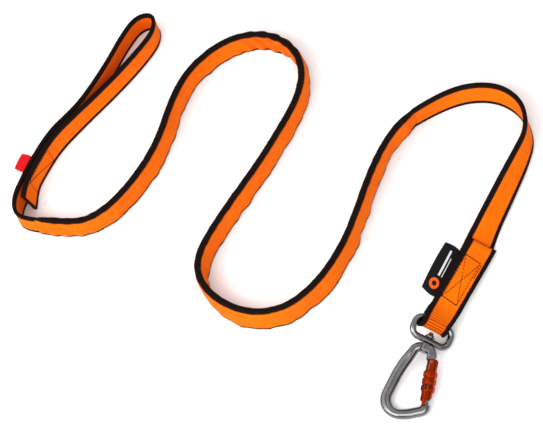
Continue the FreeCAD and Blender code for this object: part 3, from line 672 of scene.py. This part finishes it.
def at_distance(line, wanted):
    """Point and heading at a distance along a line."""
    gone = 0.0
    for a, b in zip(line, line[1:]):
        step = (b - a).length
        if gone + step >= wanted:
            return a.lerp(b, (wanted - gone) / step), (b - a).normalized()
        gone += step
    return line[-1], (line[-1] - line[-2]).normalized()


def handle_face(from_end, height):
    """A point on the outer face of the handle's last leg, measured from its cut end."""
    point, along = at_distance(handle_line, handle_length - from_end)
    out = along.cross(-Z_AXIS).normalized()
    a = WIDTH / 2 - height
    lean = handle_shape(a, 0.0, handle_end - from_end)[1]
    return point + out * (THICK / 2 - lean) - Z_AXIS * a, out


# rows from (distance from the cut end, height) to the same, each in short runs that follow the curved leg
RUNS = 5
stitch_verts, stitch_faces = [], []
for a, b in (((14.0, 3.5), (14.0, 20.5)), ((45.0, 3.0), (45.0, 21.0)), ((14.0, 19.5), (45.0, 4.0)),
             ((15.0, 20.5), (44.0, 20.5))):
    for i in range(RUNS):
        t0, t1 = i / RUNS, (i + 1) / RUNS
        p0, out = handle_face(a[0] + (b[0] - a[0]) * t0, a[1] + (b[1] - a[1]) * t0)
        p1, _ = handle_face(a[0] + (b[0] - a[0]) * t1, a[1] + (b[1] - a[1]) * t1)
        seam(stitch_verts, stitch_faces, p0, p1, out, 0.62, pitch=2.5, length=2.3, height=0.3)
handle_stitch = make_object("handle_stitch", stitch_verts, stitch_faces, "leash", [thread.material])
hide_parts("box_stitch_handle")


def tube_face(s, a, side):
    """A point on one face of the bungee tube, with its heading and the way out of that face."""
    point, along = at_distance(tube_line, s)
    up = along.cross(Z_AXIS)
    c = (abs(a) / (TUBE_WIDTH / 2)) ** (1 / TUBE_EDGE_POWER)
    u = side * TUBE_THICK / 2 * (1 - c * c) ** (TUBE_FACE_POWER / 2)
    da, du = tube_shape(a, u, s)
    return point + up * (u + du) - Z_AXIS * (a + da) + swayed(s) * (a / TUBE_WIDTH + 0.5), along, up * side


def bar_tack(name, node, distance):
    """A dense zigzag of orange thread on both faces, where the tube is sewn to the flat webbing."""
    verts, faces = [], []
    half, count = 9.8, 15
    for side in (1, -1):
        for i in range(count):
            face, along, out = tube_face(distance, half - 2 * half * i / (count - 1), side)
            lean = 0.5 if i % 2 else -0.5
            stitch(verts, faces, face - out * 0.08, (along + Z_AXIS * lean).normalized(), Z_AXIS, out,
                   2.6, 0.6, 0.3)
    piece = make_object(name, verts, faces, "leash", [tack_thread])
    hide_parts(node)
    return piece


tack_front = bar_tack("tack_front", "bar_tack_front", 8.0)
tack_handle = bar_tack("tack_handle", "bar_tack_handle", tube_length - 6.0)


# ---- label and tag ----
def folded_patch(name, node, to_world, length, reach, thick, material, billow):
    """A folded strip sewn in at one side: two layers that meet in a rounded outer fold."""
    rows, cols = 26, 20
    verts, values, faces = [], [], []
    for i in range(rows + 1):
        v = i / rows
        for k in range(cols):
            t = k / cols
            # once round the folded strip: out on top, round the fold, back underneath
            angle = 2 * math.pi * t
            x = 0.5 - 0.5 * math.cos(angle)
            x = 1 - (1 - x) ** 1.25
            up = math.copysign(abs(math.sin(angle)) ** 0.45, math.sin(angle)) * thick / 2
            ends = 4 * v * (1 - v)
            side = 1 if v > 0.5 else -1
            bow = 1.5 * math.sin(math.pi * x ** 0.8) * abs(2 * v - 1) ** 5
            along = (v - 0.5) * length + side * bow
            out = reach * x * (0.965 + 0.05 * ends)
            lift = billow * math.sin(math.pi * x * 0.9) * (0.4 + 0.6 * ends)
            verts.append(to_world(along, out, up * (0.8 + 0.5 * x * ends) + lift))
            values.append((out, (v - 0.5) * length, math.copysign(1, up)))
    for i in range(rows):
        for k in range(cols):
            j = (k + 1) % cols
            a, b = i * cols, (i + 1) * cols
            faces.append((a + k, b + k, b + j, a + j))
    faces.append(tuple(range(cols)))
    faces.append(tuple(rows * cols + k for k in reversed(range(cols))))
    piece = make_object(name, verts, faces, "leash", [material], values)
    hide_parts(node)
    return piece


satin = Paint("black_label", (0.005, 0.0035, 0.0042), 0.6, Specular_IOR_Level=0.12)
out, along, _ = satin.strap()
weft = satin.wave(along, 0.42)
warp = satin.wave(out, 0.35)
satin.bump(satin.add(satin.mul(weft, 0.6), satin.mul(warp, 0.4)), 0.06)


def within(value, middle, reach, soft):
    """1 where a value on the label is no further than reach from the middle, and 0 beyond."""
    return satin.step(satin.math("ABSOLUTE", satin.add(value, -middle)), reach, reach + soft, 1.0, 0.0)


# a plain ring and two plain bars stand for the printed mark
from_dot = satin.math("SQRT", satin.add(satin.math("POWER", satin.add(out, -8.3), 2.0),
                                        satin.math("POWER", satin.add(along, 12.6), 2.0)))
ring = satin.mul(satin.step(from_dot, 4.2, 4.35, 1.0, 0.0), satin.step(from_dot, 1.9, 2.05))
wide_bar = satin.mul(within(out, 8.1, 0.8, 0.15), within(along, 5.5, 11.0, 0.15))
thin_bar = satin.mul(within(out, 5.3, 0.3, 0.1), within(along, 3.0, 8.5, 0.15))
ground = satin.mix(weft, (0.0035, 0.002, 0.003), (0.0085, 0.006, 0.0075))
marks = satin.mix(satin.math("MAXIMUM", wide_bar, thin_bar), ground, (0.62, 0.62, 0.64))
satin.to("Base Color", satin.mix(ring, marks, (0.74, 0.10, 0.006)))

red = Paint("red_tag", (0.5, 0.008, 0.01), 0.75, Specular_IOR_Level=0.06)
along = red.strap()[1]
hem = red.step(red.math("ABSOLUTE", along), 6.9, 7.05)
weft = red.wave(along, 0.5)
ground = red.mix(weft, (0.46, 0.005, 0.008), (0.62, 0.010, 0.012))
red.to("Base Color", red.mix(hem, ground, (0.75, 0.73, 0.74)))
red.bump(weft, 0.05)


LABEL_MIDDLE, LABEL_INSET = 38.4, 1.6          # from the bar, and under the stack's edge
TAG_X, TAG_Y, TAG_Z = -358.4, 51.5, 21.8


def label_point(along, out, up):
    return stack_point(LABEL_MIDDLE + along, -WIDTH / 2 + LABEL_INSET + main_shift(40) - out, up - 0.1)


def tag_point(along, out, up):
    return ROUTE_ORIGIN + Vector((TAG_X - out * 0.98, TAG_Y + along, TAG_Z + up + out * 0.05))


label = folded_patch("label", "side_label", label_point, 41.0, 16.1, 1.3, satin.material, 0.5)
tag = folded_patch("tag", "handle_tag", tag_point, 16.0, 11.4, 1.1, red.material, 0.4)

# ---- carabiner ----
STEM_PLACE = Matrix.Translation(STEM_ORIGIN) @ Matrix.Rotation(math.radians(PITCH), 4, "X")
# for solids that are turned about the stem
STEM_TURNED = STEM_PLACE @ Matrix.Rotation(math.radians(90), 4, "Z")
GATE_PLACE = STEM_PLACE @ Matrix.Translation(HINGE) @ Matrix.Rotation(math.radians(GATE_ANGLE - 90), 4, "Z")


def arc_path(points, radii, step):
    """Points along straight runs that are joined by tangent arcs."""
    points = [Vector((*p, 0)) for p in points]
    out, at = [points[0]], points[0]

    def run(a, b):
        n = max(1, round((b - a).length / step))
        out.extend(a.lerp(b, i / n) for i in range(1, n + 1))

    for i in range(1, len(points) - 1):
        before = (points[i - 1] - points[i]).normalized()
        after = (points[i + 1] - points[i]).normalized()
        half = (math.pi - before.angle(after)) / 2
        reach = radii[i - 1] * math.tan(half)
        run(at, points[i] + before * reach)
        centre = points[i] + (before + after).normalized() * (radii[i - 1] / math.cos(half))
        start, end = points[i] + before * reach - centre, points[i] + after * reach - centre
        n = max(2, round(radii[i - 1] * 2 * half / step))
        swing = start.rotation_difference(end)
        for k in range(1, n + 1):
            out.append(centre + Quaternion().slerp(swing, k / n) @ start)
        at = points[i] + after * reach
    run(at, points[-1])
    return out


def solid(verts, faces, place):
    """A closed working mesh in mm that isn't a piece itself."""
    mesh = bpy.data.meshes.new("work")
    mesh.from_pydata([place @ Vector(v) for v in verts], [], faces)
    tidy = bmesh.new()
    tidy.from_mesh(mesh)
    bmesh.ops.recalc_face_normals(tidy, faces=tidy.faces)
    tidy.to_mesh(mesh)
    tidy.free()
    obj = bpy.data.objects.new("work", mesh)
    bpy.context.scene.collection.objects.link(obj)
    return obj


def block(x0, x1, y0, y1, z0, z1, place):
    verts = [(x, y, z) for x in (x0, x1) for y in (y0, y1) for z in (z0, z1)]
    faces = [(0, 1, 3, 2), (4, 6, 7, 5), (0, 4, 5, 1), (2, 3, 7, 6), (0, 2, 6, 4), (1, 5, 7, 3)]
    return solid(verts, faces, place)


def turned(profile, place):
    """A solid turned about X from (x, radius) points."""
    verts, spokes = [], 64
    for x, r in profile:
        for k in range(spokes):
            angle = 2 * math.pi * k / spokes
            verts.append((x, r * math.cos(angle), r * math.sin(angle)))
    return solid(verts, skin(len(profile), spokes), place)


def combined(base, steps):
    """Applies (operation, object) steps to a working object and removes the tools."""
    for operation, tool in steps:
        modifier = base.modifiers.new("step", "BOOLEAN")
        modifier.operation, modifier.solver, modifier.object = operation, "MANIFOLD", tool
        settle(base)
        bpy.data.objects.remove(tool)
    return base


def settle(obj):
    """Makes the result of an object's modifiers its mesh."""
    graph = bpy.context.evaluated_depsgraph_get()
    mesh = bpy.data.meshes.new_from_object(obj.evaluated_get(graph))
    obj.modifiers.clear()
    obj.data = mesh


def become_piece(obj, name, material, body, slot, *nodes):
    """Turns a working object in mm into a piece in metres that stands for CAD nodes."""
    obj.data.transform(Matrix.Scale(MM, 4))
    obj.name, obj.data.name = name, name
    obj.data.materials.clear()
    obj.data.materials.append(material)
    for polygon in obj.data.polygons:
        polygon.use_smooth = True
        polygon.material_index = 0
    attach(obj, body)
    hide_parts(*nodes)
    return obj


def forged_bar():
    """The bent bar: broad and ridged along the spine, flatter at the basket and the shoulder."""
    path = arc_path(FRAME_PATH, FRAME_BENDS, 0.6)
    at = 0.0
    verts, spokes = [], 72
    for i, p in enumerate(path):
        if i:
            at += (p - path[i - 1]).length
        along = (path[min(i + 1, len(path) - 1)] - path[max(i - 1, 0)]).normalized()
        outward = along.cross(Z_AXIS)
        spine = smooth(at, 24, 36) * (1 - smooth(at, 72, 84))
        basket = smooth(at, 80, 94) * (1 - smooth(at, 108, 120))
        shoulder = 1 - smooth(at, 10, 20)
        waist = math.exp(-((at - 16.0) / 3.6) ** 2)
        half_w = 3.7 + 0.65 * spine + 0.25 * basket + 0.3 * shoulder
        half_t = 3.8 - 0.1 * spine - 0.35 * shoulder - 0.7 * waist
        for k in range(spokes):
            angle = 2 * math.pi * k / spokes
            c, s = math.cos(angle), math.sin(angle)
            w = half_w * math.copysign(abs(c) ** (0.92 + 0.06 * basket), c)
            z = half_t * math.copysign(abs(s) ** (0.94 - 0.3 * shoulder + 0.06 * basket), s)
            face = smooth(abs(s), 0.15, 0.55)
            groove = 0.9 * math.exp(-((w + 0.9) / 0.75) ** 2)
            hollow = 0.3 * math.exp(-((w + 2.0) / 0.7) ** 2) * basket
            crown = 0.3 * math.exp(-((w - 1.2) / 1.4) ** 2) * spine
            z -= math.copysign(face * (groove * spine + hollow - crown), s)
            verts.append(p + outward * w + Z_AXIS * z)
    return solid(verts, skin(len(path), spokes), STEM_PLACE)


def carabiner():
    """Forged bar with the stem's boss, the hinge tongue and the nose."""
    hinge = STEM_PLACE @ Matrix.Translation(HINGE) @ Matrix.Rotation(math.radians(-90), 4, "Y")
    boss = turned([(BOSS_BOTTOM, 4.0), (BOSS_BOTTOM + 0.5, BOSS_R), (BOSS_TOP - 0.3, BOSS_R),
                   (BOSS_TOP, 4.2)], STEM_TURNED)
    steps = [("UNION", boss),
             ("DIFFERENCE", turned([(BOSS_BOTTOM - 5, BOSS_R), (BOSS_BOTTOM, BOSS_R)], STEM_TURNED)),
             ("DIFFERENCE", turned([(BOSS_TOP, BOSS_R + 4), (BOSS_TOP + 6, BOSS_R + 4)], STEM_TURNED)),
             ("DIFFERENCE", turned([(-10, KNUCKLE_CLEAR), (10, KNUCKLE_CLEAR)], hinge))]
    shoulder = Vector((*FRAME_PATH[1], 0)) - HINGE
    arm = STEM_PLACE @ Matrix.Translation(HINGE) @ Matrix.Rotation(math.atan2(shoulder.y, shoulder.x), 4, "Z")
    tongue = combined(turned([(-TONGUE_HALF, TONGUE_R), (TONGUE_HALF, TONGUE_R)], hinge),
                      [("UNION", block(-0.01, 6.2, -2.6, 2.6, -TONGUE_HALF, TONGUE_HALF, arm)),
                       ("DIFFERENCE", block(2.35, 5, -4, 4, -4, 4, GATE_PLACE))])
    room = combined(turned([(30.4, 4.9), (34.9, 4.9)], GATE_PLACE),
                    [("DIFFERENCE", turned([(29, 3.2), (36, 3.2)], GATE_PLACE)),
                     ("DIFFERENCE", block(28, 37, 2.3, 10, -10, 10, GATE_PLACE))])
    nose = combined(block(28.2, 35.0, -1.5, 1.9, -1.1, 1.1, GATE_PLACE),
                    [("UNION", block(28.2, 30.2, -1.5, 1.9, -1.75, 1.75, GATE_PLACE))])
    body = combined(forged_bar(), steps + [("UNION", tongue), ("DIFFERENCE", room)])
    remesh(body, 0.28, 5)
    return combined(body, [("UNION", nose)])


def nut():
    """Domed nut on a flange at the end of the stem, inside the eye."""
    seat = EYE_BOTTOM + EYE_ROD
    # height over the seat, radius
    profile = [(0.05, 3.6), (0.15, 3.9), (0.95, 3.9), (1.1, 3.7), (1.2, 3.05), (2.0, 2.95), (2.3, 2.6),
               (2.5, 1.95), (3.7, 1.9), (3.9, 1.8), (4.1, 1.4), (4.15, 0.6)]
    return turned([(seat + h, r) for h, r in profile], STEM_TURNED)


def remesh(obj, size, smoothing):
    """Rounds a joined solid's edges the way forging and tumbling do."""
    modifier = obj.modifiers.new("even", "REMESH")
    modifier.mode, modifier.voxel_size = "VOXEL", size
    soft = obj.modifiers.new("soft", "SMOOTH")
    soft.factor, soft.iterations = 0.5, smoothing
    settle(obj)


become_piece(carabiner(), "carabiner", aluminium, "carabiner", "polished_aluminium", "carabiner_frame")
become_piece(nut(), "nut", steel, "carabiner", "polished_steel", "swivel_nut", "swivel_washer")


def collar():
    """Three wavy grip bands on one collar, with the slot that shows the guide pin."""
    top, end, bore, counterbore, step_at = 6.6, 23.2, 4.32, 4.46, 11.6
    spokes, rows = 144, 110
    band = (end - top) / 3
    verts = []
    for i in range(rows + 1):
        x = top + (end - top) * i / rows
        for k in range(spokes):
            angle = 2 * math.pi * k / spokes
            which = min(2, int((x - top) / band))
            local = (x - top) / band - which
            lens = 0.05 + 0.13 * max(0.0, math.cos(3 * angle + 0.6 + 1.3 * which)) ** 2
            rise = smooth(local, lens, lens + 0.13) * (1 - smooth(local, 0.87 - lens, 1.0 - lens))
            lobes = 0.14 * math.cos(9 * angle + 0.7 * which)
            r = 4.72 + rise * (0.62 + lobes)
            verts.append((x, r * math.cos(angle), r * math.sin(angle)))
    body = solid(verts, skin(rows + 1, spokes), GATE_PLACE)
    cuts = [turned([(top - 1, counterbore), (step_at, counterbore)], GATE_PLACE),
            turned([(top - 2, bore), (end + 1, bore)], GATE_PLACE), block(*PIN_SLOT, GATE_PLACE)]
    return combined(body, [("DIFFERENCE", cut) for cut in cuts])


become_piece(collar(), "grip", anodised, "sleeve", "orange_anodised", "grip_collar")

# ---- finishes of the metal parts ----
for material, nodes in ((steel, ("swivel_eye", "swivel_pin", "gate_hinge_pin", "guide_pin", "gate_plunger")),
                        (anodised, ("gate_barrel", "locking_sleeve")),
                        (wire, ("gate_spring", "sleeve_spring")),
                        (dark_metal, ("gate_core",)), (plastic, ("guide_ring",))):
    for node in nodes:
        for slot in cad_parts[node].material_slots:
            slot.material = material

# ---- floor, light and camera ----
floor_mesh = bpy.data.meshes.new("floor")
half = 6.0
floor_mesh.from_pydata([(-half, -half, 0), (half, -half, 0), (half, half, 0), (-half, half, 0)], [],
                       [(0, 1, 2, 3)])
floor = bpy.data.objects.new("floor", floor_mesh)
bpy.context.scene.collection.objects.link(floor)
floor.data.materials.append(Paint("floor", (0.93, 0.93, 0.93), 0.9, Specular_IOR_Level=0.1).material)

AZIMUTH, ELEVATION, ROLL, LENS, DISTANCE = 45.0, 62.0, 23.0, 240.0, 2828.1
TARGET = Vector((-163.95, 82.65, 0)) + ROUTE_ORIGIN
a, e, r = (math.radians(x) for x in (AZIMUTH, ELEVATION, ROLL))
back = Vector((math.sin(a) * math.cos(e), -math.cos(a) * math.cos(e), math.sin(e)))
level = Vector((math.cos(a), math.sin(a), 0))
top = level.cross(-back)
right = level * math.cos(r) - top * math.sin(r)
upward = level * math.sin(r) + top * math.cos(r)
camera_data = bpy.data.cameras.new("camera")
camera_data.lens, camera_data.sensor_width, camera_data.clip_end = LENS, 36.0, 20.0
camera = bpy.data.objects.new("camera", camera_data)
place = (TARGET + back * DISTANCE) * MM
camera.matrix_world = Matrix((
    (right.x, upward.x, back.x, place.x), (right.y, upward.y, back.y, place.y),
    (right.z, upward.z, back.z, place.z), (0, 0, 0, 1)))
bpy.context.scene.collection.objects.link(camera)
bpy.context.scene.camera = camera


LIT = Vector((-0.15, 0.08, 0))          # the lights face the middle of the leash


def area_light(name, at, size, watts):
    data = bpy.data.lights.new(name, "AREA")
    data.shape = "RECTANGLE"
    data.size, data.size_y, data.energy = size, size, watts
    light = bpy.data.objects.new(name, data)
    light.location = at
    light.rotation_euler = (LIT - Vector(at)).to_track_quat("-Z", "Y").to_euler()
    bpy.context.scene.collection.objects.link(light)


area_light("key", (0.9, -1.15, 1.45), 1.8, 30)
area_light("front", (-0.75, -1.2, 1.4), 1.5, 30)
world = bpy.data.worlds.new("studio")
world.use_nodes = True
sky = world.node_tree
background = sky.nodes["Background"]
background.inputs["Strength"].default_value = 1.6
# bright overhead, dark near the ground, and dimmer towards +X, which shapes the metal
direction = sky.nodes.new("ShaderNodeTexCoord")
height = sky.nodes.new("ShaderNodeSeparateXYZ")
ramp = sky.nodes.new("ShaderNodeValToRGB")
ramp.color_ramp.interpolation = "EASE"
ramp.color_ramp.elements[0].position, ramp.color_ramp.elements[0].color = 0.25, (0.05, 0.05, 0.052, 1)
ramp.color_ramp.elements[1].position, ramp.color_ramp.elements[1].color = 1.0, (0.55, 0.55, 0.55, 1)
bright = ramp.color_ramp.elements.new(0.72)
bright.color = (1, 1, 1, 1)
sky.links.new(direction.outputs["Generated"], height.inputs[0])
sideways = sky.nodes.new("ShaderNodeMath")
sideways.operation = "MULTIPLY_ADD"
sideways.inputs[1].default_value, sideways.inputs[2].default_value = -0.30, 0.85
dimmed = sky.nodes.new("ShaderNodeVectorMath")
dimmed.operation = "SCALE"
sky.links.new(height.outputs["Z"], ramp.inputs["Fac"])
sky.links.new(height.outputs["X"], sideways.inputs[0])
sky.links.new(ramp.outputs["Color"], dimmed.inputs[0])
sky.links.new(sideways.outputs[0], dimmed.inputs["Scale"])
sky.links.new(dimmed.outputs[0], background.inputs["Color"])
bpy.context.scene.world = world
bpy.context.scene.view_settings.view_transform = "Standard"
